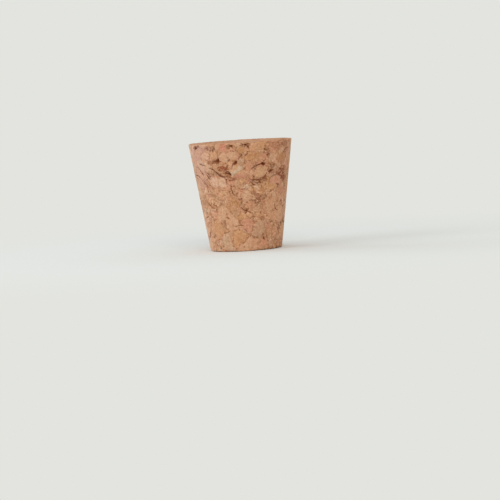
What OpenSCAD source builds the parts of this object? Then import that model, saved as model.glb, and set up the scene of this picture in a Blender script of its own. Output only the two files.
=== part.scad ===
// Tapered bottle stopper, ground from a block of bonded cork granules.
// It is one solid that stands on its small end. The origin is the centre of
// that end, +Z points to the wide end, and -Y is the front. Millimetres.

/* [Body] */
// Diameter of the wide end, taken to its sharp rim
wide_d = 24; // [23:0.5:36]
// Diameter of the small end, taken to its sharp rim
small_d = 16.6; // [12:0.2:22]
// Length from end face to end face
body_l = 25; // [20:0.5:40]
// Radius that eases the rim of the wide end
wide_rim_r = 0.25; // [0.1:0.05:0.8]
// Radius that eases the rim of the small end
small_rim_r = 0.35; // [0.1:0.05:0.8]

/* [Open pores between the granules] */
// Number of pores scattered over the tapered side
side_pores = 40; // [0:1:80]
// Number of pores scattered over the wide end
wide_end_pores = 14; // [0:1:30]
// Number of pores scattered over the small end
small_end_pores = 7; // [0:1:20]
// Width of the smallest scattered pore
pore_w_min = 0.45; // [0.3:0.05:0.7]
// Width of the largest scattered pore
pore_w_max = 1.25; // [0.8:0.05:1.6]
// Depth of the middle of each ball of a pore below the skin, as a share of its radius
pore_sink = 0.2; // [0:0.05:0.4]
// Least distance from a rim to the middle of a scattered pore
rim_margin = 1.2; // [1.2:0.1:2]
// Seed of the scatter
scatter_seed = 7; // [1:1:50]

/* [Chips torn out of the skin] */
// Number of chips scattered over the tapered side
side_chips = 14; // [0:1:24]
// Number of chips scattered over the wide end
wide_end_chips = 4; // [0:1:8]
// Number of chips scattered over the small end
small_end_chips = 2; // [0:1:5]
// Width of the largest scattered chip
chip_w = 1.4; // [0.8:0.1:1.8]
// Depth of a scattered chip at its deepest point
chip_depth = 0.34; // [0.2:0.02:0.5]

/* [Cracks along the seams] */
// Number of cracks scattered over the tapered side
side_cracks = 44; // [0:1:60]
// Number of cracks scattered over the wide end
wide_end_cracks = 9; // [0:1:16]
// Number of cracks scattered over the small end
small_end_cracks = 4; // [0:1:10]
// Width of a crack at the skin, where it gapes most
crack_w = 0.3; // [0.2:0.02:0.4]
// Depth of a crack where it gapes most
crack_depth = 0.24; // [0.1:0.02:0.4]
// Length of one straight run of a scattered crack
crack_run = 1.1; // [0.6:0.1:1.6]

/* [Hidden] */

blank_facets = 90; // around the blank
blank_turn = 0.77; // turns the facets' edges away from the placed points
rim_steps = 8; // along the arc of each rim
ball_facets = 18; // around each small ball of a pore
ball_turn = 15; // turns each ball about the skin's normal
cutter_lift = 0.1; // height of a chip's or a crack's cutter above the skin
cork_colour = [0.71, 0.53, 0.41];

wide_r = wide_d / 2;
small_r = small_d / 2;
taper = (wide_r - small_r) / body_l; // radius gained for each mm of height
taper_angle = atan(taper);

// A pore is a chain of balls that runs along its +X. Each ball is given as
// [along, across, radius], in shares of the pore's width, and a small pore
// goes without the last one. A crumb leaves a bean or a wedge, the edge of a
// granule leaves a hook, and a split in the grain leaves a dash.
bean = [[-0.2, 0, 0.3], [0.13, 0.08, 0.25], [0.32, 0.24, 0.17]];
wedge = [[0.06, 0.02, 0.24], [0.28, -0.18, 0.17], [-0.24, -0.02, 0.14], [0.25, 0.22, 0.15]];
hook = [[-0.34, -0.02, 0.17], [-0.12, -0.06, 0.14], [0.1, -0.05, 0.13], [0.28, 0.05, 0.12], [0.37, 0.2, 0.08]];
dash = [[-0.19, -0.02, 0.13], [0.03, 0.03, 0.14], [0.24, -0.02, 0.12], [-0.37, 0.03, 0.09]];
whole_from_w = 0.75;

// The forms that scattered pores are drawn from
scattered_forms = [bean, wedge, bean, dash, hook];

// Pores placed one by one on the front: [azimuth from the front in degrees,
// distance below the wide end, width, turn in the skin, form]. A pore runs
// down at a turn of 0 and to the right at 90.
placed_pores = [
    [-60, 0.95, 0.9, 90, bean],
    [-41.5, 1.0, 0.45, 60, bean],
    [7.5, 2.25, 0.4, 0, bean],
    [28.3, 1.8, 0.55, 90, bean],
    [32, 3.2, 0.6, 100, bean],
    [-55.5, 4.65, 0.9, 80, dash],
    [-49.4, 4.9, 0.65, 85, dash],
    [-36.4, 5.9, 0.55, 55, bean],
    [-16.8, 7.0, 1.5, 243, hook],
    [54, 6.75, 0.6, 70, bean],
    [61, 6.8, 0.5, 100, bean],
    [-19.8, 8.4, 0.55, 95, bean],
    [-15.2, 8.6, 0.45, 60, bean],
    [-10.2, 8.45, 0.5, 20, bean],
    [14.6, 8.05, 0.5, 40, bean],
    [19.4, 8.8, 0.95, 85, hook],
    [28.4, 8.3, 0.65, 130, wedge],
    [23, 9.5, 0.45, 10, bean],
    [14.3, 9.85, 0.55, 80, bean],
    [61.4, 8.9, 0.9, 70, dash],
    [50.4, 10.15, 1.1, 85, dash]
];

// Chips placed one by one on the front: [depth, deepest point, corners round
// the skin in clockwise order], each point as [azimuth, distance below the wide
// end]. The deepest point is nearest the steepest wall.
placed_chips = [
    [0.42, [-27.4, 3.95], [[-35.8, 4.1], [-31, 3.7], [-25.7, 3.1], [-25.9, 4.5], [-30.5, 4.35]]],
    [0.4, [-6.2, 4.55], [[-10.8, 5], [-8, 4.1], [-5.2, 3.85], [-3.8, 4.4], [-4.8, 4.85], [-7.6, 5.1]]],
    [0.38, [-9.9, 0.65], [[-14.8, 0.65], [-9.3, 0.35], [-8.2, 1], [-10.7, 0.95]]],
    [0.44, [6, 0.55], [[3.2, 0.4], [5.5, 0.35], [7.6, 0.45], [7.8, 0.8], [5.3, 0.9], [3.6, 0.65]]],
    [0.36, [8.8, 1.1], [[7.2, 0.85], [8.6, 0.75], [10, 1.1], [9.2, 1.4], [7.5, 1.25]]],
    [0.5, [26.8, 5.15],
        [[21.5, 5.15], [23.5, 4.8], [26.3, 4.7], [28.9, 5], [29.3, 5.5], [27, 5.75], [24.5, 5.5]]],
    [0.4, [36.3, 7],
        [[34.2, 6.9], [36, 6.6], [38.8, 6.7], [42.2, 6.45], [41.8, 6.9], [39.2, 7.15], [36.6, 7.3]]]
];
// Corners of a scattered chip, and the least share of its width that a corner
// reaches
chip_corners = 5;
chip_least = 0.5;

// Cracks placed one by one on the front, each a list of points: [azimuth,
// distance below the wide end, share of the greatest width and depth]
placed_cracks = [
    [[-37.5, 5.6, 0.5], [-34, 6.2, 0.7], [-31, 6.7, 1], [-28, 7.25, 1], [-24, 7.5, 0.8], [-20.5, 7.6, 0.4]],
    [[-21.5, 6.9, 0.6], [-19, 6.5, 0.9], [-16.3, 6.5, 1], [-14.3, 7.0, 1], [-12.8, 7.5, 0.5]],
    [[24, 5.1, 0.9], [20, 5.4, 0.9], [16, 5.65, 0.6], [12.2, 6.05, 0.7]],
    [[25.2, 4.1, 0.4], [27.2, 4.65, 0.9], [30, 4.15, 0.4]],
    [[45, 7.9, 0.5], [49, 7.8, 0.7], [53.5, 8.15, 0.8], [58, 8.7, 0.9], [63, 9.1, 0.6]],
    [[31.5, 7.25, 0.6], [29.6, 7.95, 0.9], [26, 8.3, 0.8], [22, 8.4, 0.5]],
    [[9, 8.55, 0.6], [13, 8.75, 0.9], [17, 8.7, 0.7], [20.5, 8.7, 0.9], [23, 9.2, 0.6]],
    [[-20.4, 8.1, 0.8], [-20, 8.9, 0.6], [-19.4, 9.7, 0.4]],
    [[-30.4, 0.5, 0.6], [-31, 1.0, 0.9], [-29.8, 1.8, 0.5]],
    [[-61, 5.7, 0.5], [-57.5, 6.5, 0.8], [-54, 7.3, 0.5]],
    [[-50.5, 6.3, 0.5], [-46.5, 7.3, 0.8], [-43.5, 8.3, 0.5]],
    [[-58, 7.9, 0.5], [-54, 8.8, 0.7], [-50, 9.4, 0.4]],
    [[-36, 4.15, 0.4], [-31, 4.4, 0.7], [-27, 4.5, 0.7], [-26.7, 3.5, 0.6], [-27, 2.8, 0.4]],
    [[33.4, 2.6, 0.4], [31.5, 3.3, 0.8], [34, 4.0, 0.5]],
    [[-7, 10.3, 0.5], [-2, 10.7, 0.8], [3, 10.5, 0.5]]
];
// Shares of the greatest width and depth along a scattered crack
crack_shares = [0.4, 0.9, 1, 0.5];
// Greatest turn of a scattered crack from one run to the next
crack_bend = 50;
// Least distance of a crack from a rim
crack_margin = 0.7;

// The patch of the side that the placed pores, chips and cracks fill, clear of
// scattered ones
placed_half_angle = 66;
placed_depth = 11.5;

// Nicks torn out of the rims: [azimuth from the front, width, turn]
wide_rim_nicks = [[-74, 0.8, 40], [97, 0.9, 110], [163, 1.1, 10], [-140, 0.7, 80]];
small_rim_nicks = [[-35, 0.8, 60], [70, 0.9, 20], [-160, 0.9, 130]];

// Successive pores turn by the golden angle, which spreads them evenly, and so
// do successive chips and cracks
golden_angle = 137.508;
jitter_angle = 9;
jitter_shift = 0.5;

// First salt of each scattered set, added to the seed so that no two sets draw
// the same shares. A set of chips or cracks takes one more salt for each piece.
side_pore_salt = 0;
wide_end_pore_salt = 4;
small_end_pore_salt = 7;
side_crack_salt = 20;
side_crack_turn_salt = 30;
side_chip_salt = 70;
wide_end_crack_salt = 100;
small_end_crack_salt = 120;
wide_end_chip_salt = 140;
small_end_chip_salt = 160;

// Random shares from 0 to 1, one list for each use
function shares(count, salt) = count > 0 ? rands(0, 1, count, scatter_seed + salt) : [];

// Radius of the tapered side at a distance below the wide end
function side_r(drop) = wide_r - taper * drop;

// Distance below the wide end that leaves a share of the scattered band's area
// above it. The band ends where a shift could bring a pore to the rim's margin.
function drop_at(share) =
    let (band_margin = rim_margin + jitter_shift)
    let (top_r = side_r(band_margin), bottom_r = side_r(body_l - band_margin))
    let (r = sqrt(top_r * top_r - share * (top_r * top_r - bottom_r * bottom_r)))
    (wide_r - r) / taper;

// Most pores are small, so the share is cubed
function pore_w(share) = pore_w_min + (pore_w_max - pore_w_min) * pow(share, 3);

// Outward normal of the side at an azimuth
function side_normal(azimuth) = [
    cos(taper_angle) * sin(azimuth),
    -cos(taper_angle) * cos(azimuth),
    -sin(taper_angle)
];

// Point of the side from its azimuth and its distance below the wide end
function side_point(azimuth, drop) =
    [side_r(drop) * sin(azimuth), -side_r(drop) * cos(azimuth), body_l - drop];

// A distance below the wide end that is kept clear of both rims
function off_rims(drop) = min(max(drop, crack_margin), body_l - crack_margin);

// Points of a scattered crack in a plane: each run turns a little from the last
function walk(point, heading, turns, i = 0) =
    i == len(crack_shares) ? [] :
    let (bend = crack_bend * (2 * turns[i] - 1))
    let (next = point + crack_run * [cos(heading), sin(heading)])
    concat([[point.x, point.y, crack_shares[i]]], walk(next, heading + bend, turns, i + 1));

// Corners of a scattered chip round the middle of a plane whose Y points down,
// in clockwise order, from a random share for each
function torn_corners(reach, spread) = [
    for (i = [0:1:chip_corners - 1])
        let (way = 360 / chip_corners * (i + 0.5 * spread[i]))
        reach * (chip_least + (1 - chip_least) * spread[i]) * [cos(way), sin(way)]
];

// A form picked by a random share
function drawn_form(share) = scattered_forms[floor(share * len(scattered_forms))];

// An azimuth brought to between -180 and 180 degrees
function wrapped(azimuth) = azimuth - 360 * round(azimuth / 360);

// Centre of the arc that eases a rim: it touches the end face and the side
function rim_centre(rim_r, z) = [side_r(body_l - z) - rim_r / cos(taper_angle), z];

// Points along an arc from one angle to another
function arc(centre, r, from, to) =
    [for (i = [0:1:rim_steps])
        let (angle = from + (to - from) * i / rim_steps)
        centre + r * [cos(angle), sin(angle)]];

// The ground blank: a taper with both rims eased
module blank() {
    small_centre = rim_centre(small_rim_r, small_rim_r);
    wide_centre = rim_centre(wide_rim_r, body_l - wide_rim_r);
    rotate(blank_turn)
        rotate_extrude($fn = blank_facets)
            polygon(concat(
                [[0, 0]],
                arc(small_centre, small_rim_r, -90, -taper_angle),
                arc(wide_centre, wide_rim_r, -taper_angle, 90),
                [[0, body_l]]
            ));
}

// One pore, opening towards +Z of its own frame
module pore(width, turn, form) {
    balls = len(form) - (width < whole_from_w ? 1 : 0);
    rotate(turn)
        for (i = [0:1:balls - 1])
            translate(width * [form[i][0], form[i][1], -pore_sink * form[i][2]])
                rotate(ball_turn) sphere(width * form[i][2], $fn = ball_facets);
}

// Sets its children on the side, their +Z along the outward normal
module on_side(azimuth, drop) {
    rotate([0, 0, azimuth - 90])
        translate([side_r(drop), 0, body_l - drop])
            rotate([0, 90 + taper_angle, 0])
                children();
}

// Sets its children on a rim, their +Z leaning out from the axis by a tilt
module on_rim(azimuth, z, tilt) {
    rotate([0, 0, azimuth - 90])
        translate([side_r(body_l - z), 0, z])
            rotate([0, tilt, 0])
                children();
}

module placed_side_pores() {
    for (spot = placed_pores)
        on_side(spot[0], spot[1]) pore(spot[2], spot[3], spot[4]);
}

module scattered_side_pores() {
    sizes = shares(side_pores, side_pore_salt);
    turns = shares(side_pores, side_pore_salt + 1);
    slides = shares(side_pores, side_pore_salt + 2);
    forms = shares(side_pores, side_pore_salt + 3);
    for (i = [0:1:side_pores - 1]) {
        azimuth = wrapped(i * golden_angle + jitter_angle * (2 * turns[i] - 1));
        drop = drop_at((i + 0.5) / side_pores) + jitter_shift * (2 * slides[i] - 1);
        if (abs(azimuth) > placed_half_angle || drop > placed_depth)
            on_side(azimuth, drop)
                pore(pore_w(sizes[i]), 360 * turns[i], drawn_form(forms[i]));
    }
}

// Pores over an end face of a given radius, opening towards +Z
module end_pores(count, face_r, salt) {
    sizes = shares(count, salt);
    turns = shares(count, salt + 1);
    forms = shares(count, salt + 2);
    for (i = [0:1:count - 1])
        rotate(i * golden_angle + jitter_angle * turns[i])
            translate([(face_r - rim_margin) * sqrt((i + 0.5) / count), 0, 0])
                pore(pore_w(sizes[i]), 360 * turns[i], drawn_form(forms[i]));
}

// One chip: a pit with a flat wall to each of its corners from its deepest
// point, which lies a depth below a point of the skin with a given normal
module chip(depth, spot, normal, corners) {
    count = len(corners);
    bottom = spot - depth * normal;
    crown = spot + 2 * cutter_lift * normal;
    raised = [for (corner = corners) corner + (corner - bottom) * cutter_lift / depth];
    walls = [
        for (i = [0:1:count - 1])
            let (next = (i + 1) % count)
            each [[i, next, count], [next, i, count + 1]]
    ];
    polyhedron(points = concat(raised, [crown, bottom]), faces = walls);
}

module placed_side_chips() {
    for (pit = placed_chips)
        chip(
            pit[0],
            side_point(pit[1][0], pit[1][1]),
            side_normal(pit[1][0]),
            [for (corner = pit[2]) side_point(corner[0], corner[1])]
        );
}

module scattered_side_chips() {
    sizes = shares(side_chips, side_chip_salt);
    for (i = [0:1:side_chips - 1]) {
        azimuth = wrapped((i + 0.3) * golden_angle);
        drop = drop_at((i + 0.5) / side_chips);
        degrees = 180 / PI / side_r(drop);
        reach = chip_w / 2 * (chip_least + (1 - chip_least) * sizes[i]);
        if (abs(azimuth) > placed_half_angle || drop > placed_depth)
            chip(
                chip_depth * (chip_least + (1 - chip_least) * sizes[i]),
                side_point(azimuth, drop),
                side_normal(azimuth),
                [for (corner = torn_corners(reach, shares(chip_corners, side_chip_salt + 1 + i)))
                    side_point(azimuth + corner.x * degrees, drop + corner.y)]
            );
    }
}

// Chips over an end face of a given radius, which opens towards +Z
module end_chips(count, face_r, salt) {
    sizes = shares(count, salt);
    for (i = [0:1:count - 1]) {
        way = (i + 0.3) * golden_angle;
        middle = (face_r - rim_margin - chip_w) * sqrt((i + 0.5) / count) * [cos(way), sin(way)];
        reach = chip_w / 2 * (chip_least + (1 - chip_least) * sizes[i]);
        chip(
            chip_depth * (chip_least + (1 - chip_least) * sizes[i]),
            [middle.x, middle.y, 0],
            [0, 0, 1],
            [for (corner = torn_corners(reach, shares(chip_corners, salt + 1 + i)))
                [middle.x + corner.x, middle.y - corner.y, 0]]
        );
    }
}

// One crack: a groove with a V section that runs through points of the skin,
// given with the skin's normals, and tapers by their shares of its greatest size
module crack(points, normals, sizes) {
    last = len(points) - 1;
    rows = [
        for (i = [0:1:last])
            let (along = points[min(i + 1, last)] - points[max(i - 1, 0)])
            let (across = cross(normals[i], along) / norm(along))
            let (half = crack_w / 2 * (sizes[i] + cutter_lift / crack_depth))
            let (top = points[i] + cutter_lift * normals[i])
            [top - half * across, top + half * across, points[i] - crack_depth * sizes[i] * normals[i]]
    ];
    sides = [
        for (i = [0:1:last - 1])
            for (k = [0:1:2])
                let (a = 3 * i + k, b = 3 * i + (k + 1) % 3)
                each [[a, b, b + 3], [a, b + 3, a + 3]]
    ];
    polyhedron(
        points = [for (row = rows) each row],
        faces = concat([[2, 1, 0]], sides, [[3 * last, 3 * last + 1, 3 * last + 2]])
    );
}

// Knots of a crack on the side: [azimuth, distance below the wide end, share]
module side_crack(knots) {
    crack(
        [for (knot = knots) side_point(knot[0], off_rims(knot[1]))],
        [for (knot = knots) side_normal(knot[0])],
        [for (knot = knots) knot[2]]
    );
}

module placed_side_cracks() {
    for (knots = placed_cracks)
        side_crack(knots);
}

module scattered_side_cracks() {
    headings = shares(side_cracks, side_crack_salt);
    for (i = [0:1:side_cracks - 1]) {
        turns = shares(len(crack_shares), side_crack_turn_salt + i);
        azimuth = wrapped((i + 0.5) * golden_angle);
        drop = drop_at((i + 0.5) / side_cracks);
        degrees = 180 / PI / side_r(drop);
        if (abs(azimuth) > placed_half_angle || drop > placed_depth)
            side_crack([
                for (step = walk([0, 0], 360 * headings[i], turns))
                    [azimuth + step.x * degrees, drop + step.y, step.z]
            ]);
    }
}

// Cracks over an end face of a given radius, which opens towards +Z
module end_cracks(count, face_r, salt) {
    headings = shares(count, salt);
    for (i = [0:1:count - 1]) {
        reach = (face_r - rim_margin - 2 * crack_run) * sqrt((i + 0.5) / count);
        start = reach * [cos((i + 0.5) * golden_angle), sin((i + 0.5) * golden_angle)];
        steps = walk(start, 360 * headings[i], shares(len(crack_shares), salt + 1 + i));
        crack(
            [for (step = steps) [step.x, step.y, 0]],
            [for (step = steps) [0, 0, 1]],
            [for (step = steps) step.z]
        );
    }
}

module rim_nicks() {
    for (nick = wide_rim_nicks)
        on_rim(nick[0], body_l, 45) pore(nick[1], nick[2], bean);
    for (nick = small_rim_nicks)
        on_rim(nick[0], 0, 135) pore(nick[1], nick[2], bean);
}

// The blank with its chips torn out and the cracks along its seams open
module torn_blank() {
    difference() {
        blank();
        placed_side_chips();
        scattered_side_chips();
        placed_side_cracks();
        scattered_side_cracks();
        translate([0, 0, body_l]) {
            end_chips(wide_end_chips, wide_r, wide_end_chip_salt);
            end_cracks(wide_end_cracks, wide_r, wide_end_crack_salt);
        }
        rotate([180, 0, 0]) {
            end_chips(small_end_chips, small_r, small_end_chip_salt);
            end_cracks(small_end_cracks, small_r, small_end_crack_salt);
        }
    }
}

module stopper() {
    color(cork_colour)
        difference() {
            torn_blank();
            placed_side_pores();
            scattered_side_pores();
            rim_nicks();
            translate([0, 0, body_l])
                end_pores(wide_end_pores, wide_r, wide_end_pore_salt);
            rotate([180, 0, 0])
                end_pores(small_end_pores, small_r, small_end_pore_salt);
        }
}

stopper();
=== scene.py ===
from math import cos, pi, radians, sin
import bpy
from mathutils import Matrix, Vector


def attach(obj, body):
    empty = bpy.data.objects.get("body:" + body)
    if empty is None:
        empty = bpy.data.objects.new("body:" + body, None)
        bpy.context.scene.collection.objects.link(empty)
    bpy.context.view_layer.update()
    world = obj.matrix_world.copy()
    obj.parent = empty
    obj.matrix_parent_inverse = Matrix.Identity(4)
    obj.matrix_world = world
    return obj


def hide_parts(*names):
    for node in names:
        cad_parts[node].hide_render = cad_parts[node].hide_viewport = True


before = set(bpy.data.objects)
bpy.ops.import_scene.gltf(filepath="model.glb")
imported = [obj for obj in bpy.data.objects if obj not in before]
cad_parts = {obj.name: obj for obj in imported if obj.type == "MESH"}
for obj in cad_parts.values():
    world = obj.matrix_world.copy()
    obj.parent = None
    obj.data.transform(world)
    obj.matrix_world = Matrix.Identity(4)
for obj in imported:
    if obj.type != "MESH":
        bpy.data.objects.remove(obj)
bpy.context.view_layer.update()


# ---------------------------------------------------------------------------
# The stopper. It is one piece, ground to a taper out of a block of cork
# granules that were pressed and glued together, so its skin shows the cut
# granules, the seams between them and the pores where crumbs fell out.
# ---------------------------------------------------------------------------

# Sizes of the ground taper, in metres
wide_r = 0.012
small_r = 0.0083
length = 0.025
wide_rim_r = 0.00025
small_rim_r = 0.00035
mm = 0.001

# Sizes of the granules in the block, in mm, and the seed of their scatter
block_seed = 3.0
large_mm = 3.4
small_mm = 1.7
crumb_mm = 0.75
rind_mm = 0.2  # the band of crumbs round each large granule

# Shares of the small granules that went to crumbs, and of the block that holds no large one
crumbled_share = 0.5
no_large_share = 0.3

# How the block was kneaded: waves to the mm, and their reach in mm
long_bend = (0.5, 1.6)
middle_bend = (1.1, 1.1)
short_bend = (2.8, 0.45)
set_sway = 0.25  # share of the long bend that the granules set one by one take

# Shifts in mm, so that the small granules and the crumbs aren't laid out as the large ones are, and
# a block of another seed isn't laid out as this one
small_shift = (7.3, 1.9, 4.1)
crumb_shift = (2.2, 8.4, 5.7)
seed_shift = (17.3, 5.9, 11.1)

# The slack of the glue has so many waves to the mm. A seam starts to open at one value of it and
# is open at the next, starts to gape at another, and gapes so many mm for each 1 above that.
slack_waves = 0.42
seam_opens, seam_is_open = 0.42, 0.6
gape_starts, gape_rate = 0.52, 0.5


def srgb(red, green, blue):
    """A colour as seen on a screen, from 0 to 255, in the renderer's own scale."""
    levels = (red / 255, green / 255, blue / 255)
    return tuple(v / 12.92 if v <= 0.04045 else ((v + 0.055) / 1.055) ** 2.4 for v in levels)


# Cork by the part of the bark that it was cut from
rose = srgb(200, 143, 114)
tan = srgb(200, 149, 113)
light = srgb(207, 160, 127)
honey = srgb(197, 145, 103)
grey_tan = srgb(192, 150, 120)
salmon = srgb(203, 138, 112)
oval_tan = srgb(199, 151, 115)
cream = srgb(202, 170, 141)
pale = srgb(211, 167, 138)

# Stains, a painted sheen, bark, and the dark crumbs that line a break, by its depth in mm
# Painted sheen: the pale pink veil that glancing light lays on the left side
painted_sheen_pink = srgb(194, 147, 133)
rusty = srgb(142, 78, 52)
bark = srgb(118, 70, 40)
seam_brown = srgb(106, 58, 34)
# Darker with depth: partly the crumbs' own colour and partly painted shade in the hollow
linings_and_depth_shade = (
    (0.03, srgb(150, 98, 68)),
    (0.14, srgb(128, 74, 47)),
    (0.26, srgb(110, 56, 31)),
    (0.44, srgb(92, 42, 20)),
)

# Granules set in one by one on the front: (azimuth from the front in degrees,
# distance below the wide end, width and height in mm, turn clockwise, cork)
set_granules = [
    (-20.2, 0.85, 1.9, 1.8, 0, salmon),
    (0.8, 1.75, 1.7, 1.5, 0, honey),
    (15.5, 1.2, 3.0, 2.2, -10, tan),
    (54, 2.1, 2.2, 1.6, 0, light),
    (14, 3.2, 4.2, 1.7, -14, honey),
    (40.5, 3.8, 2.5, 1.7, 12, light),
    (57, 4.0, 2.6, 2.2, 0, honey),
    (23.4, 7.0, 4.2, 2.5, -12, oval_tan),
    (11.4, 6.95, 1.3, 1.3, 0, light),
    (-1, 4.4, 1.6, 2.0, 0, grey_tan),
    (-10, 6.75, 2.2, 0.95, -30, cream),
    (-2.6, 5.85, 2.0, 0.9, -36, cream),
    (-20.6, 3.2, 2.6, 2.2, 0, light),
    (-10.5, 2.9, 2.4, 2.1, 0, light),
    (-34, 2.5, 2.4, 1.7, 0, tan),
    (-45, 2.8, 3.0, 1.7, 0, light),
    (-26, 8.9, 2.8, 2.3, 0, pale),
    (-38, 8.7, 2.5, 2.5, 20, pale),
    (-2, 7.7, 3.2, 1.3, 0, rose),
    (-15, 9.3, 2.2, 1.4, 0, rose),
    (-8, 8.85, 0.8, 0.9, 0, light),
    (46.5, 9.1, 3.9, 2.1, 8, rose),
    (14.8, 9.1, 0.8, 0.8, 0, light),
    (25.8, 9.1, 1.5, 1.0, 0, tan),
    (-16.6, 4.0, 0.6, 0.6, 0, cream),
]

# Stained places on the front, a few of which are painted sheen and painted shade: the same five
# numbers, the stain and its strength
stains = [
    # The first three rows are painted sheen on the left side, not stains
    (-60, 2.4, 8.0, 5.6, 0, painted_sheen_pink, 0.6),
    (-48, 1.1, 8.0, 1.8, 0, painted_sheen_pink, 0.6),
    (-60, 7.6, 8.0, 6.0, 0, painted_sheen_pink, 0.55),
    (-22.6, 5.75, 3.3, 1.3, 0, rusty, 1.6),
    (-3, 7.9, 4.2, 1.4, 0, rusty, 0.35),
    (-13.5, 8.3, 3.2, 1.0, 0, rusty, 0.6),
    (8, 8.6, 2.2, 1.0, 0, rusty, 0.4),
    (-60, 0.8, 2.6, 1.4, 0, bark, 0.8),
    (-37, 1.1, 3.0, 1.4, 0, bark, 0.75),
    (-31, 0.9, 0.7, 1.8, 10, bark, 0.8),
    (-12, 0.7, 2.2, 1.2, 0, bark, 0.75),
    (5.5, 0.6, 2.4, 1.6, 0, bark, 1.0),
    (41, 0.9, 5.4, 1.7, 0, rusty, 0.65),
    (29.6, 1.85, 1.2, 0.9, 0, bark, 1.1),
    (33.5, 2.6, 1.6, 2.6, 0, bark, 0.5),
    (17, 3.0, 5.6, 1.0, -6, rusty, 0.4),
    (12, 2.1, 3.0, 0.6, -10, rusty, 0.3),
    (54, 4.2, 3.6, 2.6, 0, rusty, 0.4),
    # Painted shade: the next dark stain lies in the shaded hollow at azimuth -8, over a real pore.
    (-8.3, 4.5, 2.0, 1.5, 0, bark, 0.4),
    (-12.5, 5.5, 1.0, 1.2, 0, bark, 0.4),
    (-31.0, 4.15, 2.1, 1.1, 0, bark, 1.0),
    (-17.5, 6.9, 2.2, 1.4, 0, bark, 0.5),
    (-29, 7.0, 3.6, 1.0, 30, bark, 0.5),
    (-52, 4.8, 2.0, 0.7, 8, bark, 0.4),
    (25.5, 5.15, 2.6, 1.3, 0, bark, 0.4),
    (39, 7.0, 3.2, 1.4, 0, rusty, 0.6),
    (57.5, 6.7, 4.0, 1.7, 0, rusty, 1.0),
    (51, 7.6, 3.0, 1.1, 0, rusty, 1.1),
    (61, 8.6, 3.8, 1.8, 35, rusty, 1.4),
    (20, 8.9, 5.2, 1.3, 0, bark, 0.85),
    # Painted shadow: the next dark stain lies under the lower right edge of the oval granule.
    (29.5, 8.3, 1.8, 1.1, 0, bark, 0.7),
    (12.4, 6.0, 1.0, 0.8, 0, bark, 0.4),
    # The stains at azimuth 61 and 66 below are partly red-brown cork and partly painted shade, darkening
    # the right edge that the lamps light least.
    (61, 0.9, 3.6, 1.8, 0, rusty, 0.85),
    (45, 2.0, 3.0, 1.0, 0, rusty, 0.5),
    (66, 2.4, 2.4, 1.6, 0, rusty, 0.55),
    (52, 1.6, 2.4, 0.8, 20, rusty, 0.4),
]

# Hairlines in the skin of the front: half the width in mm, then points of
# (azimuth, distance below the wide end, share of the width)
hairlines = [
    (
        0.12,
        [
            (-36, 5.9, 0.3),
            (-31, 6.75, 0.6),
            (-28.3, 7.25, 1.5),
            (-25, 7.55, 1.6),
            (-22, 7.7, 0.8),
            (-19.5, 7.7, 0.4),
        ],
    ),
    (0.08, [(-19.6, 6.9, 0.6), (-18.2, 6.5, 1.0), (-15.5, 6.6, 1.0), (-13.6, 7.2, 1.0)]),
    (0.06, [(-42, 5.5, 0.4), (-39, 5.7, 1.0), (-36, 6.0, 0.8)]),
    (0.06, [(-47, 7.3, 0.5), (-44.5, 7.7, 1.0), (-42, 8.3, 0.6)]),
    (0.06, [(-57, 8.9, 0.5), (-53, 9.2, 1.0), (-50, 9.7, 0.7)]),
    (0.05, [(-51, 7.9, 0.5), (-48, 8.3, 1.0), (-45.5, 8.9, 0.7)]),
    (0.07, [(33.6, 6.1, 0.6), (33.2, 6.8, 1.0), (36, 7.4, 0.6)]),
    (0.08, [(11.6, 6.15, 0.6), (14, 5.85, 1.0), (18, 5.5, 0.9), (22.5, 5.15, 1.0)]),
    (0.05, [(13.2, 10.0, 1.0), (12.4, 9.4, 0.7), (13.2, 8.75, 0.8)]),
    (0.04, [(-57.5, 4.45, 0.8), (-53, 4.8, 1.0), (-47, 4.95, 0.7)]),
    (0.06, [(-63, 5.4, 0.5), (-58.5, 6.2, 1.0), (-54, 7.1, 0.6)]),
    (0.06, [(-49, 6.2, 0.5), (-44, 7.1, 1.0), (-40.5, 8.1, 0.6)]),
    (0.06, [(-67, 7.2, 0.5), (-61, 8.0, 1.0), (-57, 8.9, 0.6)]),
    # The next hairline runs along the edge of the shade by the hollow at azimuth -8: its groove is real,
    # its dark line is painted shadow edge.
    (0.06, [(-11.6, 5.7, 0.5), (-10.8, 5.2, 1.0), (-9.5, 4.6, 1.0)]),
    (0.05, [(47, 10.0, 0.6), (50, 10.2, 1.0), (54, 10.35, 0.6)]),
    (0.04, [(1.5, 2.6, 0.5), (-1.6, 3.3, 1.0), (-3.6, 4.0, 0.6)]),
    (0.04, [(34.5, 9.9, 0.5), (35.6, 9.0, 1.0), (39.5, 8.2, 1.0), (44.5, 7.85, 0.6)]),
]


def on_side(azimuth, drop):
    """The point of the side at an azimuth in degrees and a distance in mm below the wide end."""
    across = radians(azimuth)
    r = wide_r - (wide_r - small_r) / length * drop * mm
    return Vector((r * sin(across), -r * cos(across), length - drop * mm))


def add(tree, kind, inputs=None, **settings):
    """A node with its options set and its inputs filled or linked."""
    made = tree.nodes.new(kind)
    for name, value in settings.items():
        setattr(made, name, value)
    for key, value in (inputs or {}).items():
        if isinstance(value, bpy.types.NodeSocket):
            tree.links.new(value, made.inputs[key])
        else:
            made.inputs[key].default_value = value
    return made


def maths(tree, operation, *values):
    """The result of one sum on numbers."""
    return add(tree, "ShaderNodeMath", dict(enumerate(values)), operation=operation).outputs[0]


def times(tree, value, *factors):
    """A number times others."""
    for factor in factors:
        value = maths(tree, "MULTIPLY", value, factor)
    return value


def plus(tree, value, *others):
    """A number with others added."""
    for other in others:
        value = maths(tree, "ADD", value, other)
    return value


def minus(tree, value, other):
    """A number with another taken off."""
    return maths(tree, "SUBTRACT", value, other)


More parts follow.
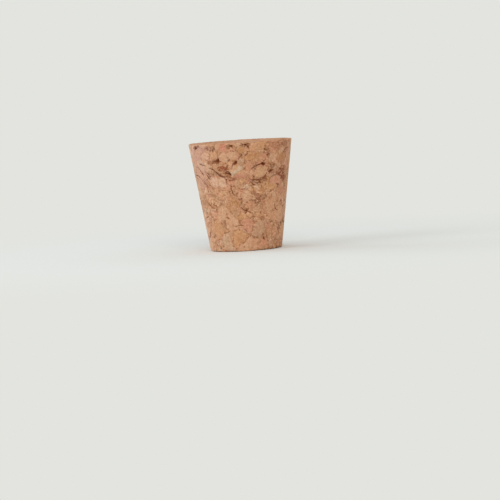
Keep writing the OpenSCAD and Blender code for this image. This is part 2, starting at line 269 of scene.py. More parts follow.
def vectors(tree, operation, *values):
    """The result of one sum on vectors, which is a number for a length or a dot product."""
    made = add(tree, "ShaderNodeVectorMath", dict(enumerate(values)), operation=operation)
    gives_number = operation in ("DOT_PRODUCT", "LENGTH", "DISTANCE")
    return made.outputs["Value" if gives_number else "Vector"]


def scaled(tree, vector, factor):
    """A vector times a number."""
    made = add(tree, "ShaderNodeVectorMath", {0: vector, "Scale": factor}, operation="SCALE")
    return made.outputs["Vector"]


def moved(tree, place, *ways):
    """A place moved one way after another."""
    for way in ways:
        place = vectors(tree, "ADD", place, way)
    return place


def parts(tree, vector):
    """The three numbers of a vector."""
    return add(tree, "ShaderNodeSeparateXYZ", {0: vector}).outputs


def joined(tree, x=0.0, y=0.0, z=0.0):
    """A vector of three numbers."""
    return add(tree, "ShaderNodeCombineXYZ", {0: x, 1: y, 2: z}).outputs[0]


def step(tree, value, low, high):
    """0 below one value and 1 above the other, with a smooth climb between."""
    made = add(
        tree,
        "ShaderNodeMapRange",
        {"Value": value, "From Min": low, "From Max": high},
        interpolation_type="SMOOTHSTEP",
    )
    return made.outputs["Result"]


def drop_off(tree, value, low, high):
    """1 below one value and 0 above the other."""
    return minus(tree, 1.0, step(tree, value, low, high))


# The middle of noise and of random numbers, which go from 0 to 1
halfway = (0.5, 0.5, 0.5)


def noise(tree, place, scale, detail=2.0, roughness=0.5):
    """Noise from 0 to 1 at a place in mm, with so many waves to the mm."""
    settings = {"Vector": place, "Scale": scale, "Detail": detail, "Roughness": roughness}
    return add(tree, "ShaderNodeTexNoise", settings).outputs[0]


def wander(tree, place, scale, reach):
    """A random way of up to about half the reach in mm, which changes slowly with the place."""
    settings = {"Vector": place, "Scale": scale, "Detail": 2.0}
    colour = add(tree, "ShaderNodeTexNoise", settings).outputs["Color"]
    return scaled(tree, vectors(tree, "SUBTRACT", colour, halfway), reach)


def is_vector(value):
    """Whether a value or a socket holds three numbers."""
    return isinstance(value, tuple) or getattr(value, "type", "") in ("VECTOR", "RGBA")


def between(tree, factor, a, b):
    """Numbers, vectors or colours mixed by a factor."""
    of_vectors = is_vector(a) or is_vector(b)
    made = add(tree, "ShaderNodeMix", data_type="VECTOR" if of_vectors else "FLOAT")
    ends = (4, 5) if of_vectors else (2, 3)
    for socket, value in zip((0, *ends), (factor, a, b)):
        if isinstance(value, bpy.types.NodeSocket):
            tree.links.new(value, made.inputs[socket])
        else:
            made.inputs[socket].default_value = value
    return made.outputs[1 if of_vectors else 0]


def cells(tree, place, size):
    """Cells of one size in mm: each cell's three random numbers, and the way to its edge in mm."""
    settings = {"Vector": place, "Scale": 1 / size}
    inside = add(tree, "ShaderNodeTexVoronoi", settings, feature="F1")
    edge = add(tree, "ShaderNodeTexVoronoi", settings, feature="DISTANCE_TO_EDGE")
    return inside.outputs["Color"], times(tree, edge.outputs["Distance"], size)


def from_middle(tree, place, spot):
    """How far a place in mm is from the middle of a spot on the front, whose edge is at 1."""
    azimuth, drop, width, height, turn = spot[:5]
    half_depth = 2.0
    away = vectors(tree, "SUBTRACT", place, tuple(on_side(azimuth, drop) / mm))
    settings = {"Vector": away, "Rotation": (0, radians(turn), radians(azimuth))}
    made = add(tree, "ShaderNodeVectorRotate", settings, rotation_type="EULER_XYZ", invert=True)
    halves = (width / 2, half_depth, height / 2)
    return vectors(tree, "LENGTH", vectors(tree, "DIVIDE", made.outputs[0], halves))


# How a set granule's random numbers go on from the last one's, and its border, which runs from so
# many mm outside to so many inside
number_steps = (0.13, 0.37, 0.71)
border = (-0.08, 0.12)


def with_set_granules(tree, place, number, edge, large):
    """The same numbers where a set granule lies, and how far the place is inside each of them."""
    inside_set = []
    for index, granule in enumerate(set_granules):
        middle = minus(tree, 1.0, from_middle(tree, place, granule))
        gap = times(tree, middle, min(granule[2:4]) / 2)
        inside = maths(tree, "GREATER_THAN", gap, 0.0)
        own_number = tuple(share * index % 1 for share in number_steps)
        number = between(tree, inside, number, own_number)
        near = maths(tree, "MINIMUM", edge, maths(tree, "ABSOLUTE", gap))
        edge = between(tree, inside, near, gap)
        large = maths(tree, "MAXIMUM", large, inside)
        inside_set.append(step(tree, gap, *border))
    return number, edge, large, inside_set


def granules(tree, place, seed):
    """Which granule a place in mm lies in: its three random numbers, the way to its edge in mm,
    how open its seam is there from 0 to 1, how far it gapes in mm, whether the granule is a large
    one, and how far the place is inside each of the set granules, from 0 to 1."""
    in_block = moved(tree, place, scaled(tree, seed_shift, seed))
    sway = wander(tree, in_block, *long_bend)
    bend = moved(tree, wander(tree, in_block, *middle_bend), wander(tree, in_block, *short_bend))
    bent = moved(tree, in_block, moved(tree, sway, bend))

    # Large granules lie in small ones, and some of the small ones went to crumbs.
    large_number, large_edge = cells(tree, bent, large_mm)
    small_number, small_edge = cells(tree, moved(tree, bent, small_shift), small_mm)
    crumb_number, crumb_edge = cells(tree, moved(tree, bent, crumb_shift), crumb_mm)
    crumbled = maths(tree, "LESS_THAN", parts(tree, small_number)[0], crumbled_share)
    number = between(tree, crumbled, small_number, crumb_number)
    edge = between(tree, crumbled, small_edge, crumb_edge)
    whole = maths(tree, "GREATER_THAN", parts(tree, large_number)[0], no_large_share)
    inside_rind = minus(tree, large_edge, rind_mm)
    large = times(tree, whole, maths(tree, "GREATER_THAN", inside_rind, 0.0))
    outside_gap = plus(tree, maths(tree, "ABSOLUTE", inside_rind), minus(tree, 1.0, whole))
    number = between(tree, large, number, large_number)
    edge = between(tree, large, maths(tree, "MINIMUM", edge, outside_gap), inside_rind)
    kneaded = moved(tree, place, moved(tree, scaled(tree, sway, set_sway), bend))
    number, edge, large, inside_set = with_set_granules(tree, kneaded, number, edge, large)

    # The glue let go in some places, where the seams stand open.
    slack = noise(tree, in_block, slack_waves)
    broken = step(tree, noise(tree, in_block, 1.5), 0.45, 0.6)
    open_here = times(tree, step(tree, slack, seam_opens, seam_is_open), broken)
    over = maths(tree, "MAXIMUM", minus(tree, slack, gape_starts), 0.0)
    gape = times(tree, over, broken, gape_rate)
    return number, edge, open_here, gape, large, inside_set


# Each rim crumbles within so many metres, and the rays that feel the pores are aimed truer there.
rim_band = 0.0006


def picked(tree, index, kind, choices):
    """The one of four values that the index picks. What is left out is nothing."""
    made = add(tree, "GeometryNodeIndexSwitch", {0: index}, data_type=kind)
    while len(made.index_switch_items) < 4:
        made.index_switch_items.new()
    for socket, value in choices.items():
        tree.links.new(value, made.inputs[socket])
    return made.outputs[0]


def stored(tree, geometry, name, value):
    """Geometry that carries a number at each of its points."""
    settings = {"Geometry": geometry, "Name": name, "Value": value}
    made = add(tree, "GeometryNodeStoreNamedAttribute", settings, data_type="FLOAT", domain="POINT")
    return made.outputs[0]


def carried(tree, name):
    """The number that each point carries under a name."""
    made = add(tree, "GeometryNodeInputNamedAttribute", {"Name": name}, data_type="FLOAT")
    return made.outputs[0]


def wound_grid(tree, given):
    """A cube's grid, and how its squares wind into rings round the axis: each point's share of
    the radius, its level from -1 to 1, and its way out from the axis."""
    steps = given["Steps Across"]
    size = {"Size": (2, 2, 2), "Vertices X": steps, "Vertices Y": steps, "Vertices Z": given["Steps Up"]}
    cube = add(tree, "GeometryNodeMeshCube", size)
    x, y, level = parts(tree, add(tree, "GeometryNodeInputPosition").outputs[0])
    ring = maths(tree, "MAXIMUM", maths(tree, "ABSOLUTE", x), maths(tree, "ABSOLUTE", y))
    way_x, way_y = (
        maths(tree, "TANGENT", times(tree, maths(tree, "DIVIDE", side, ring), pi / 4))
        for side in (x, y)
    )
    outward = vectors(tree, "NORMALIZE", joined(tree, way_x, way_y))
    return cube.outputs["Mesh"], ring, level, outward


def half_section(tree, given):
    """The outline of half a section with both rims rounded, from the middle of the small end to
    the middle of the wide end, and the length of its slanting side."""
    corners = 4
    rim_points = 12
    line = add(tree, "GeometryNodeMeshLine", {"Count": corners})
    index = add(tree, "GeometryNodeInputIndex").outputs[0]
    small_corner = joined(tree, given["Small Radius"])
    wide_corner = joined(tree, given["Wide Radius"], z=given["Length"])
    wide_middle = joined(tree, z=given["Length"])
    corner = picked(tree, index, "VECTOR", {2: small_corner, 3: wide_corner, 4: wide_middle})
    bent = add(tree, "GeometryNodeSetPosition", {"Geometry": line.outputs[0], "Position": corner})
    curve = add(tree, "GeometryNodeMeshToCurve", {0: bent.outputs[0]})
    rim_r = picked(tree, index, "FLOAT", {2: given["Small Rim"], 3: given["Wide Rim"]})
    eased = {"Curve": curve.outputs[0], "Count": rim_points, "Radius": rim_r}
    outline = add(tree, "GeometryNodeFilletCurve", eased, mode="POLY")
    return outline.outputs[0], vectors(tree, "DISTANCE", small_corner, wide_corner)


def ground_body(tree, given):
    """The plain ground body. Its points carry their way to the nearer rim, in metres."""
    grid, ring, level, outward = wound_grid(tree, given)
    outline, slant = half_section(tree, given)

    # How far along the outline a point of the grid lies
    to_wide_rim = plus(tree, given["Small Radius"], slant)
    up = times(tree, plus(tree, level, 1.0), 0.5)
    below = plus(tree, times(tree, ring, given["Small Radius"]), times(tree, up, slant))
    above = plus(tree, to_wide_rim, times(tree, minus(tree, 1.0, ring), given["Wide Radius"]))
    under_top = 0.9999  # the grid's top face is at level 1
    along = between(tree, maths(tree, "GREATER_THAN", level, under_top), below, above)
    whole = plus(tree, to_wide_rim, given["Wide Radius"])
    from_small_rim = maths(tree, "ABSOLUTE", minus(tree, along, given["Small Radius"]))
    from_wide_rim = maths(tree, "ABSOLUTE", minus(tree, along, to_wide_rim))
    to_rim = maths(tree, "MINIMUM", from_small_rim, from_wide_rim)
    sample = add(
        tree,
        "GeometryNodeSampleCurve",
        {"Curves": outline, "Factor": maths(tree, "DIVIDE", along, whole)},
        mode="FACTOR",
        use_all_curves=True,
    )
    r, _, height = parts(tree, sample.outputs["Position"])
    turned = moved(tree, scaled(tree, outward, r), joined(tree, z=height))
    marked = stored(tree, grid, "rim_gap", to_rim)
    return add(tree, "GeometryNodeSetPosition", {"Geometry": marked, "Position": turned}).outputs[0]


def with_pores(tree, given, body, place, normal):
    """The body, whose points also carry the depth in mm of the solid's pores, chips and cracks.
    Rays sent in from outside feel it, at a slightly ragged aim that is true near the rims."""
    reach = 0.0008  # how far out a ray starts, and how far in it feels
    clearance = 0.00002  # what is less deep than this is no pore
    true_band = 0.0001  # this near a rim, the aim is wholly true
    jags_per_mm = 3.0
    off_rim = step(tree, carried(tree, "rim_gap"), true_band, rim_band)
    ragged = times(tree, given["Ragged Edge"], off_rim)
    jag = wander(tree, scaled(tree, place, 1 / mm), jags_per_mm, ragged)
    along_normal = vectors(tree, "DOT_PRODUCT", jag, normal)
    jag = vectors(tree, "SUBTRACT", jag, scaled(tree, normal, along_normal))
    solid = add(tree, "GeometryNodeObjectInfo", {"Object": given["Solid"]}, transform_space="RELATIVE")
    ray = add(
        tree,
        "GeometryNodeRaycast",
        {
            "Target Geometry": solid.outputs["Geometry"],
            "Source Position": moved(tree, place, jag, scaled(tree, normal, reach)),
            "Ray Direction": scaled(tree, normal, -1.0),
            "Ray Length": 2 * reach,
        },
    )
    sunk = minus(tree, ray.outputs["Hit Distance"], reach + clearance)
    sunk = times(tree, maths(tree, "MAXIMUM", sunk, 0.0), ray.outputs["Is Hit"])
    return stored(tree, body, "pore", maths(tree, "DIVIDE", sunk, mm))


def with_hairlines(tree, given, body, place):
    """The body, whose points also carry their way in mm from a hairline's edge, up to 1 mm."""
    dot_gap = 0.00005  # between the dots that stand for a hairline
    furthest = 1.0
    drawn = {"Object": given["Hairlines"]}
    drawn = add(tree, "GeometryNodeObjectInfo", drawn, transform_space="RELATIVE")
    dots = {"Curve": drawn.outputs["Geometry"], "Length": dot_gap}
    dots = add(tree, "GeometryNodeCurveToPoints", dots, mode="LENGTH").outputs["Points"]
    nearest = add(tree, "GeometryNodeSampleNearest", {"Geometry": dots}, domain="POINT").outputs[0]
    spot = {"Geometry": dots, "Value": place, "Index": nearest}
    spot = add(tree, "GeometryNodeSampleIndex", spot, data_type="FLOAT_VECTOR", domain="POINT")
    half = add(tree, "GeometryNodeInputRadius").outputs[0]
    half = {"Geometry": dots, "Value": half, "Index": nearest}
    half = add(tree, "GeometryNodeSampleIndex", half, data_type="FLOAT", domain="POINT")
    away = minus(tree, vectors(tree, "DISTANCE", place, spot.outputs[0]), half.outputs[0])
    away = maths(tree, "MINIMUM", maths(tree, "DIVIDE", away, mm), furthest)
    return stored(tree, body, "hairline", away)


# The worn skin, in mm: how wide a granule's domed edge and an open seam's walls are, and from
# where inside a hairline's edge to where outside it the hairline's walls run
dome_width = 0.35
seam_walls = 0.09
hairline_walls = (-0.06, 0.1)

# Shares of the relief that the cut height and the dome have, and of a gape that is seam floor
cut_part, dome_part = 0.6, 0.6
floor_part = 0.4


def worn_in(tree, given, place_mm):
    """How far in metres the skin lies inside the plain body: each granule was cut at its own
    height, pores, seams and hairlines are open, and the rims have crumbled a little."""
    number, edge, open_here, gape = granules(tree, place_mm, given["Block Seed"])[:4]
    cut_height = parts(tree, number)[2]
    dome = drop_off(tree, edge, 0.0, dome_width)
    relief = plus(tree, times(tree, cut_height, cut_part), times(tree, dome, dome_part))
    relief = times(tree, relief, given["Granule Relief"])
    seam = drop_off(tree, edge, times(tree, gape, floor_part), plus(tree, gape, seam_walls))
    seam = times(tree, seam, open_here, given["Seam Depth"])
    hairline = drop_off(tree, carried(tree, "hairline"), *hairline_walls)
    hairline = times(tree, hairline, given["Hairline Depth"])
    rough = noise(tree, place_mm, 2.2, detail=4.0, roughness=0.62)
    rough = times(tree, rough, given["Roughness"])
    crumbled = step(tree, noise(tree, place_mm, 0.9, detail=3.0, roughness=0.6), 0.48, 0.72)
    near_rim = drop_off(tree, carried(tree, "rim_gap"), 0.0, rim_band)
    crumbled = times(tree, crumbled, near_rim, given["Rim Wear"])
    pore = times(tree, carried(tree, "pore"), mm)
    return plus(tree, pore, relief, seam, hairline, rough, crumbled)


def skin_tree():
    """Geometry nodes for the ground and worn skin of the stopper."""
    tree = bpy.data.node_groups.new("Ground cork skin", "GeometryNodeTree")
    for name, kind in (
        ("Wide Radius", "NodeSocketFloat"),
        ("Small Radius", "NodeSocketFloat"),
        ("Length", "NodeSocketFloat"),
        ("Wide Rim", "NodeSocketFloat"),
        ("Small Rim", "NodeSocketFloat"),
        ("Steps Across", "NodeSocketInt"),
        ("Steps Up", "NodeSocketInt"),
        ("Block Seed", "NodeSocketFloat"),
        ("Granule Relief", "NodeSocketFloat"),
        ("Seam Depth", "NodeSocketFloat"),
        ("Hairline Depth", "NodeSocketFloat"),
        ("Roughness", "NodeSocketFloat"),
        ("Rim Wear", "NodeSocketFloat"),
        ("Ragged Edge", "NodeSocketFloat"),
        ("Solid", "NodeSocketObject"),
        ("Hairlines", "NodeSocketObject"),
        ("Finish", "NodeSocketMaterial"),
    ):
        tree.interface.new_socket(name=name, in_out="INPUT", socket_type=kind)
    tree.interface.new_socket(name="Geometry", in_out="OUTPUT", socket_type="NodeSocketGeometry")
    given = tree.nodes.new("NodeGroupInput").outputs
    place = add(tree, "GeometryNodeInputPosition").outputs[0]
    normal = add(tree, "GeometryNodeInputNormal").outputs[0]

    body = ground_body(tree, given)
    body = with_pores(tree, given, body, place, normal)
    body = with_hairlines(tree, given, body, place)
    inset = worn_in(tree, given, scaled(tree, place, 1 / mm))
    inward = scaled(tree, normal, times(tree, inset, -1.0))
    worn = add(tree, "GeometryNodeSetPosition", {"Geometry": body, "Offset": inward})
    cleaned = {"Geometry": worn.outputs[0], "Name": "rim_gap"}
    cleaned = add(tree, "GeometryNodeRemoveAttribute", cleaned)
    smooth = add(tree, "GeometryNodeSetShadeSmooth", {0: cleaned.outputs[0]})
    real = add(tree, "GeometryNodeRealizeInstances", {0: smooth.outputs[0]})
    finished = {"Geometry": real.outputs[0], "Material": given["Finish"]}
    finished = add(tree, "GeometryNodeSetMaterial", finished)
    out = tree.nodes.new("NodeGroupOutput")
    tree.links.new(finished.outputs[0], out.inputs[0])
    return tree


def ramp(tree, value, stops):
    """A colour that follows a value through stops of (where, colour)."""
    made = add(tree, "ShaderNodeValToRGB", {0: value})
    while len(made.color_ramp.elements) < len(stops):
        made.color_ramp.elements.new(0.5)
    for element, (where, colour) in zip(made.color_ramp.elements, stops):
        element.position = where
        element.color = (*colour, 1)
    return made.outputs[0]


def toned(tree, colour, shade):
    """A colour made lighter or darker by a factor. Darker cork is redder too."""
    red_power, blue_power = 0.74, 1.3
    red, blue = (maths(tree, "POWER", shade, power) for power in (red_power, blue_power))
    return vectors(tree, "MULTIPLY", colour, joined(tree, red, shade, blue))


def shaded(tree, shade, value, at_0, at_1):
    """A shade times another one, which follows a value from 0 to 1."""
    return times(tree, shade, between(tree, value, at_0, at_1))


# Shares of the small granules that have bark in them and of all granules that are pale, and how
# strongly it shows
bark_share, bark_strength = 0.12, 0.4
pale_share, pale_strength = 0.06, 0.45

# The shades of single granules, from the darkest to the lightest
small_shades = (0.84, 1.13)
large_shades = (0.95, 1.05)


def granule_cork(tree, chances, large, inside_set):
    """Each granule's own tan and shade. A few are pale, and a few of the small ones are bark."""
    colour = ramp(
        tree,
        chances[0],
        ((0.0, rose), (0.28, tan), (0.5, light), (0.7, tan), (0.85, honey), (1.0, grey_tan)),
    )
    small = minus(tree, 1.0, large)
    is_bark = times(tree, maths(tree, "LESS_THAN", chances[2], bark_share), small)
    colour = between(tree, times(tree, is_bark, bark_strength), colour, bark)
    is_pale = maths(tree, "GREATER_THAN", chances[2], 1 - pale_share)
    colour = between(tree, times(tree, is_pale, pale_strength), colour, cream)
    for inside, granule in zip(inside_set, set_granules):
        colour = between(tree, inside, colour, granule[-1])
    small_shade = between(tree, chances[1], *small_shades)
    large_shade = between(tree, chances[1], *large_shades)
    return colour, between(tree, large, small_shade, large_shade)


# Growth lines: how many to the mm, their shades, the waves to the mm and the reach in mm of their
# sway, and how many mm further on each granule takes them
years_per_mm = 2.2
year_shades = (0.94, 1.06)
year_sway = (1.1, 0.7)
year_shift = 30.0

# Streaks of bark: waves to the mm all round, how many more there are across the growth lines, and
# how strongly they show
streak_waves = 0.9
across_waves = 2.6
streak_strength = 0.38


def with_growth_lines(tree, place, number, chance, colour, shade):
    """Colour and shade with growth lines, which run across each granule its own way."""
    way = vectors(tree, "NORMALIZE", vectors(tree, "SUBTRACT", number, halfway))
    swayed = moved(tree, place, wander(tree, place, *year_sway))
    across = vectors(tree, "DOT_PRODUCT", swayed, way)
    across = plus(tree, across, times(tree, chance, year_shift))
    settings = {"W": across, "Scale": years_per_mm, "Detail": 3.0}
    years = add(tree, "ShaderNodeTexNoise", settings, noise_dimensions="1D")
    shade = shaded(tree, shade, years.outputs[0], *year_shades)
    drawn_out = scaled(tree, way, times(tree, across, across_waves))
    stretched = moved(tree, scaled(tree, swayed, streak_waves), drawn_out)
    streak = step(tree, noise(tree, stretched, 1.0), 0.6, 0.72)
    return between(tree, times(tree, streak, streak_strength), colour, bark), shade


# Shades of the marks in cut cork, from one end of each to the other: factors for the mottles, the
# grain and the fine beads, and what flecks and grit add, of which a large granule shows a share
mottle_shades = (0.88, 1.11)
grain_shades = (0.84, 1.14)
bead_shades = (1.07, 0.88)
fleck_shades = (-0.2, 0.17)
grit_shades = (-0.22, 0.2)
shown_on_large = 0.5

# Grit is shards of cork in the cut face, with a size in mm, and a sway in waves to the mm and mm.
# The fine beads are clumps of cut cells.
grit_mm = 0.45
grit_sway = (3.0, 0.35)
beads_per_mm = 9.0


def with_mottling(tree, place, large, shade):
    """The shade with mottles, flecks, grit and the fine grain of the cut cells. The mottles, the
    grain and the way from the middle of each bead come too, for the bumps that they make."""
    mottle = noise(tree, place, 1.6, detail=5.0, roughness=0.66)
    shade = shaded(tree, shade, step(tree, mottle, 0.25, 0.75), *mottle_shades)
    fleck = noise(tree, place, 3.0, roughness=0.6)
    fleck = between(tree, step(tree, fleck, 0.3, 0.7), *fleck_shades)
    grit_place = moved(tree, place, wander(tree, place, *grit_sway))
    grit = parts(tree, cells(tree, grit_place, grit_mm)[0])[0]
    fleck = plus(tree, fleck, between(tree, grit, *grit_shades))
    fleck = times(tree, fleck, between(tree, large, 1.0, shown_on_large))
    shade = times(tree, shade, plus(tree, fleck, 1.0))
    grain = noise(tree, place, 8.0, detail=3.0, roughness=0.65)
    shade = shaded(tree, shade, step(tree, grain, 0.25, 0.75), *grain_shades)
    beads = {"Vector": place, "Scale": beads_per_mm}
    from_bead = add(tree, "ShaderNodeTexVoronoi", beads, feature="F1").outputs["Distance"]
    return shaded(tree, shade, from_bead, *bead_shades), mottle, grain, from_bead


# Stains: how ragged their edges are and from where to where they fade, both in shares of the way
# from the middle to the edge, and their strength between the specks and in them. Bark dust has its
# strength where the block is clean and where it is dusty.
stain_rag = 2.2
stain_fade = (0.5, 1.15)
speck_strengths = (0.3, 1.1)
dust_strengths = (0.3, 0.75)


def with_stains(tree, place, colour):
    """The colour with the stains of the front and with bark dust, which lie in specks."""
    ragged = minus(tree, noise(tree, place, 1.7, detail=4.0, roughness=0.65), 0.5)
    ragged = times(tree, ragged, stain_rag)
    specks = step(tree, noise(tree, place, 2.6, detail=3.0, roughness=0.6), 0.4, 0.62)
    speckled = between(tree, specks, *speck_strengths)
    for stain in stains:
        reach = plus(tree, from_middle(tree, place, stain), ragged)
        strength = times(tree, drop_off(tree, reach, *stain_fade), stain[-1], speckled)
        colour = between(tree, strength, colour, stain[-2])
    dusty = step(tree, noise(tree, place, 0.36, detail=3.0, roughness=0.55), 0.48, 0.66)
    dust = step(tree, noise(tree, place, 2.7, detail=4.0, roughness=0.68), 0.56, 0.7)
    dust = times(tree, dust, between(tree, dusty, *dust_strengths))
    return between(tree, dust, colour, bark)


# Seams, in mm: how far they fray, and the widths of their soft edge and of the darkening beside them,
# which is partly glue soaked in and partly painted shade between the granules. Darkening and seam
# have one strength where the seam is closed and another where it is open.
seam_fray = 0.14
seam_edge = 0.05
stain_and_shade_width = 0.32
stain_and_shade_strengths = (0.06, 0.26)
seam_strengths = (0.12, 0.75)
dark_part = 0.5  # of a gape


def with_seams(tree, colour, edge, open_here, gape, fret):
    """The colour with the seams and the soft darkening beside them, partly glue stain and partly painted
    shade.
    """
    frayed = plus(tree, edge, times(tree, fret, seam_fray))
    # Painted shade, with some glue stain, darkens the cork beside each seam.
    beside = drop_off(tree, frayed, 0.0, stain_and_shade_width)
    beside = times(tree, beside, between(tree, open_here, *stain_and_shade_strengths))
    colour = between(tree, beside, colour, bark)
    seam = drop_off(tree, frayed, times(tree, gape, dark_part), plus(tree, gape, seam_edge))
    seam = times(tree, seam, between(tree, open_here, *seam_strengths))
    return between(tree, seam, colour, seam_brown)


# The upper front keeps all its linings: from these heights up and from these depths forward, in mm
fresh_above = (12.6, 13.4)
fresh_before = (-3.4, -4.4)

# The depths in mm from which the lining of a break shows and at which it is whole, each where the
# break is fresh and where it is worn. The shift lays out the worn places unlike other marks.
lining_from = (0.01, 0.09)
lining_whole = (0.06, 0.24)
worn_shift = (2.0, 30.0, 22.0)
pore_fray = 0.14

# A hairline's fray and soft edge, in mm, and how dark it is
hairline_fray = 0.16
hairline_edge = (-0.03, 0.09)
hairline_strength = 0.85


def with_linings_and_depth_shade(tree, place, colour, fret):
    """The colour with dark crumbs of bark in the hairlines, cracks and pores, and the depth of these in
    mm. In pores and cracks it darkens with depth, partly as painted shade. Shallow ones are worn clean
    in places, but not on the upper front."""
    hairline = add(tree, "ShaderNodeAttribute", attribute_name="hairline").outputs["Fac"]
    hairline = plus(tree, hairline, times(tree, fret, hairline_fray))
    hairline = drop_off(tree, hairline, *hairline_edge)
    colour = between(tree, times(tree, hairline, hairline_strength), colour, seam_brown)
    pore = add(tree, "ShaderNodeAttribute", attribute_name="pore").outputs["Fac"]
    pore = plus(tree, pore, times(tree, fret, pore_fray))
    worn = step(tree, noise(tree, moved(tree, place, worn_shift), 1.2), 0.44, 0.6)
    _, y, height = parts(tree, place)
    fresh = times(tree, step(tree, height, *fresh_above), step(tree, y, *fresh_before))
    worn = times(tree, worn, minus(tree, 1.0, fresh))
    shows = between(tree, worn, *lining_from)
    lined = step(tree, pore, shows, between(tree, worn, *lining_whole))
    # The lining darkens with depth: painted shade on top of the crumbs' own colour.
    return between(tree, lined, colour, ramp(tree, pore, linings_and_depth_shade)), pore


# How far the cork turns to red in some places and to green in others
redder = (1.02, 0.975, 0.965)
greener = (0.985, 1.02, 1.015)

# The ground side shines a little. The sawn ends are duller by a share, which fades out between so
# many mm from them, and a pore is wholly dull from so many mm of depth.
side_roughness = 0.5
dull_roughness = 1.0
specular = 0.1
end_dullness = 0.6
end_from, end_to = 0.1, 0.4
dull_depth = 0.1

# Bumps of the cut cells: their height in metres and strength, how much the mottles add to the
# grain, and how much it falls off from the middle of a bead
grain_height = 0.00006
bump_strength = 0.6
mottle_rise, bead_fall = 1.2, -0.6


def cork_material():
    """Bonded cork: cut granules of several tans, growth lines in each, dark seams and pores."""
    material = bpy.data.materials.new("Bonded cork")
    material.use_nodes = True
    tree = material.node_tree
    tree.nodes.clear()
    out = tree.nodes.new("ShaderNodeOutputMaterial")
    shader = tree.nodes.new("ShaderNodeBsdfPrincipled")
    tree.links.new(shader.outputs[0], out.inputs[0])
    place = scaled(tree, add(tree, "ShaderNodeTexCoord").outputs["Object"], 1 / mm)
    number, edge, open_here, gape, large, inside_set = granules(tree, place, block_seed)
    chance = add(tree, "ShaderNodeTexWhiteNoise", {"Vector": number}, noise_dimensions="3D")
    chances = parts(tree, chance.outputs["Color"])
    fret = minus(tree, noise(tree, place, 6.0, roughness=0.6), 0.5)

    colour, shade = granule_cork(tree, chances, large, inside_set)
    colour, shade = with_growth_lines(tree, place, number, chances[0], colour, shade)
    shade, mottle, grain, from_bead = with_mottling(tree, place, large, shade)
    hue = step(tree, noise(tree, place, 0.8, detail=3.0, roughness=0.6), 0.3, 0.7)
    colour = vectors(tree, "MULTIPLY", colour, between(tree, hue, redder, greener))
    colour = toned(tree, colour, shade)
    colour = with_stains(tree, place, colour)
    colour = with_seams(tree, colour, edge, open_here, gape, fret)
    colour, pore = with_linings_and_depth_shade(tree, place, colour, fret)
    tree.links.new(colour, shader.inputs["Base Color"])

    height = parts(tree, place)[2]
    top = length / mm
    on_small_end = drop_off(tree, height, end_from, end_to)
    on_wide_end = step(tree, height, top - end_to, top - end_from)
    on_end = times(tree, plus(tree, on_small_end, on_wide_end), end_dullness)
    dull = maths(tree, "MAXIMUM", on_end, step(tree, pore, 0.0, dull_depth))
    roughness = between(tree, dull, side_roughness, dull_roughness)
    tree.links.new(roughness, shader.inputs["Roughness"])
    shader.inputs["Specular IOR Level"].default_value = specular
    rise = plus(tree, grain, times(tree, from_bead, bead_fall), times(tree, mottle, mottle_rise))
    bump = {"Height": rise, "Strength": bump_strength, "Distance": grain_height}
    tree.links.new(add(tree, "ShaderNodeBump", bump).outputs[0], shader.inputs["Normal"])
    return material


def hairline_paths():
    """The hairlines as smooth curves on the side, as thick as half their width."""
    paths = bpy.data.curves.new("hairlines", "CURVE")
    paths.dimensions = "3D"
    for half_width, points in hairlines:
        path = paths.splines.new("BEZIER")
        path.bezier_points.add(len(points) - 1)
        for knot, (azimuth, drop, share) in zip(path.bezier_points, points):
            knot.co = on_side(azimuth, drop)
            knot.handle_left_type = knot.handle_right_type = "AUTO"
            knot.radius = half_width * share * mm
    made = bpy.data.objects.new("hairlines", paths)
    bpy.context.scene.collection.objects.link(made)
    return made


skin = skin_tree()
stopper = bpy.data.objects.new("stopper_skin", bpy.data.meshes.new("stopper_skin"))
bpy.context.scene.collection.objects.link(stopper)
paths = hairline_paths()
grow = stopper.modifiers.new("skin", "NODES")
grow.node_group = skin
skin_values = {
    "Wide Radius": wide_r,
    "Small Radius": small_r,
    "Length": length,
    "Wide Rim": wide_rim_r,
    "Small Rim": small_rim_r,
    "Steps Across": 190,
    "Steps Up": 260,
    "Block Seed": block_seed,
    "Granule Relief": 0.00005,
    "Seam Depth": 0.0001,
    "Hairline Depth": 0.00012,
    "Roughness": 0.00008,
    "Rim Wear": 0.00016,
    "Ragged Edge": 0.0003,
    "Solid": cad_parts["stopper"],
    "Hairlines": paths,
    "Finish": cork_material(),
}
for item in skin.interface.items_tree:
    if item.in_out == "INPUT":
        grow[item.identifier] = skin_values[item.name]

# The flat places need fewer faces than the grid has.
kept_share = 0.36
thin = stopper.modifiers.new("thin", "DECIMATE")
thin.ratio = kept_share
grown = stopper.evaluated_get(bpy.context.evaluated_depsgraph_get())
mesh = bpy.data.meshes.new_from_object(grown)
stopper.modifiers.remove(thin)
stopper.modifiers.remove(grow)
stopper.data = mesh
bpy.data.objects.remove(paths)
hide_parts("stopper")
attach(stopper, "root")


# ---------------------------------------------------------------------------
# The studio. A pale paper floor runs out into a pale surround of its own
# colour, which lights the stopper a little from all round.
# ---------------------------------------------------------------------------

backdrop_rgb = (0.768, 0.775, 0.738)
surround_light = 0.72
floor_half = 0.4
shadow_to, paper_to = 0.03, 0.11  # from where the floor's shade fades, and where it is gone


def plain_nodes(holder):
    """The empty node tree of a world or a material."""
    holder.use_nodes = True
    holder.node_tree.nodes.clear()
    return holder.node_tree


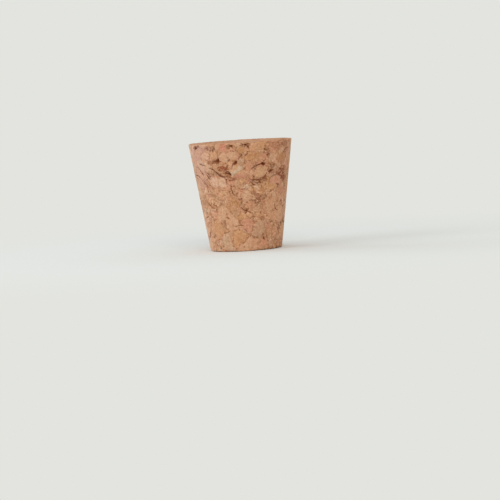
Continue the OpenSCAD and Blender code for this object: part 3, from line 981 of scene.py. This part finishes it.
surround = bpy.data.worlds.new("Pale surround")
bpy.context.scene.world = surround
air = plain_nodes(surround)
shown = add(air, "ShaderNodeBackground", {"Color": (*backdrop_rgb, 1), "Strength": 1.0})
lighting = add(air, "ShaderNodeBackground", {"Color": (1, 1, 1, 1), "Strength": surround_light})
rays = add(air, "ShaderNodeLightPath").outputs
seen = maths(air, "MAXIMUM", rays["Is Camera Ray"], rays["Is Glossy Ray"])
seen = maths(air, "MAXIMUM", seen, rays["Is Transmission Ray"])
mixed = add(air, "ShaderNodeMixShader", {0: seen, 1: lighting.outputs[0], 2: shown.outputs[0]})
air_out = air.nodes.new("ShaderNodeOutputWorld")
air.links.new(mixed.outputs[0], air_out.inputs[0])

floor_mesh = bpy.data.meshes.new("floor")
corners = [(x * floor_half, y * floor_half, 0) for x, y in ((-1, -1), (1, -1), (1, 1), (-1, 1))]
floor_mesh.from_pydata(corners, [], [(0, 1, 2, 3)])
floor = bpy.data.objects.new("floor", floor_mesh)
bpy.context.scene.collection.objects.link(floor)
paper = bpy.data.materials.new("Pale floor")
ground = plain_nodes(paper)
matt = add(ground, "ShaderNodeBsdfDiffuse", {"Color": (*backdrop_rgb, 1)})
glow = add(ground, "ShaderNodeEmission", {"Color": (*backdrop_rgb, 1)})
spot = add(ground, "ShaderNodeTexCoord").outputs["Object"]
far = step(ground, vectors(ground, "LENGTH", spot), shadow_to, paper_to)
fade = add(ground, "ShaderNodeMixShader", {0: far, 1: matt.outputs[0], 2: glow.outputs[0]})
ground_out = ground.nodes.new("ShaderNodeOutputMaterial")
ground.links.new(fade.outputs[0], ground_out.inputs[0])
floor_mesh.materials.append(paper)


# ---------------------------------------------------------------------------
# The lamps. Three square soft ones are aimed at the stopper: a key from the
# left, a cool rim light from behind on the left, and a warm fill in front.
# ---------------------------------------------------------------------------

lit_point = Vector((0, 0, 0.012))
lamps = (
    ("key", (-0.66, -0.22, 0.3), 0.4, 1.5, (0.84, 0.94, 1.0)),
    ("rim", (-0.6, 0.38, 0.16), 0.4, 2.4, (0.67, 0.84, 1.0)),
    ("fill", (0.1, -0.7, 0.35), 0.5, 1.9, (1.0, 0.97, 0.93)),
)
for name, place, size, power, tint in lamps:
    lamp = bpy.data.lights.new(name, "AREA")
    lamp.color = tint
    lamp.size = size
    lamp.energy = power
    holder = bpy.data.objects.new(name, lamp)
    holder.location = place
    holder.rotation_euler = (lit_point - Vector(place)).to_track_quat("-Z", "Y").to_euler()
    bpy.context.scene.collection.objects.link(holder)


# ---------------------------------------------------------------------------
# The camera. It stands 0.6 m off, a little above the wide end, and leans. It
# is aimed so that the wide end comes to its place and width in the picture.
# ---------------------------------------------------------------------------

picture_px = 500
wide_end_px = (239.9, 140.9)
wide_end_span_px = 103.8
distance = 0.6
looks_down = radians(1.9)
leans = radians(3.58)

camera_data = bpy.data.cameras.new("camera")
camera_data.sensor_width = 36.0
px_on_sensor = camera_data.sensor_width / picture_px
camera_data.lens = px_on_sensor * distance / (2 * wide_r / wide_end_span_px)
camera_data.clip_start = 0.01
camera = bpy.data.objects.new("camera", camera_data)


def facing(ray, up):
    """Three square directions, as columns: to the right, up and back along a ray."""
    right = ray.cross(up).normalized()
    return Matrix((right, right.cross(ray), -ray)).transposed()


ray_in_world = Vector((0, cos(looks_down), -sin(looks_down)))
across_px = wide_end_px[0] - picture_px / 2
up_px = picture_px / 2 - wide_end_px[1]
ray_in_camera = Vector((across_px * px_on_sensor, up_px * px_on_sensor, -camera_data.lens)).normalized()
world_side = facing(ray_in_world, Vector((0, 0, 1)))
camera_side = facing(ray_in_camera, Vector((-sin(leans), cos(leans), 0)))
turn = (world_side @ camera_side.transposed()).to_4x4()
camera.matrix_world = Matrix.Translation(Vector((0, 0, length)) - distance * ray_in_world) @ turn
bpy.context.scene.collection.objects.link(camera)
bpy.context.scene.camera = camera
bpy.context.scene.view_settings.view_transform = "Standard"
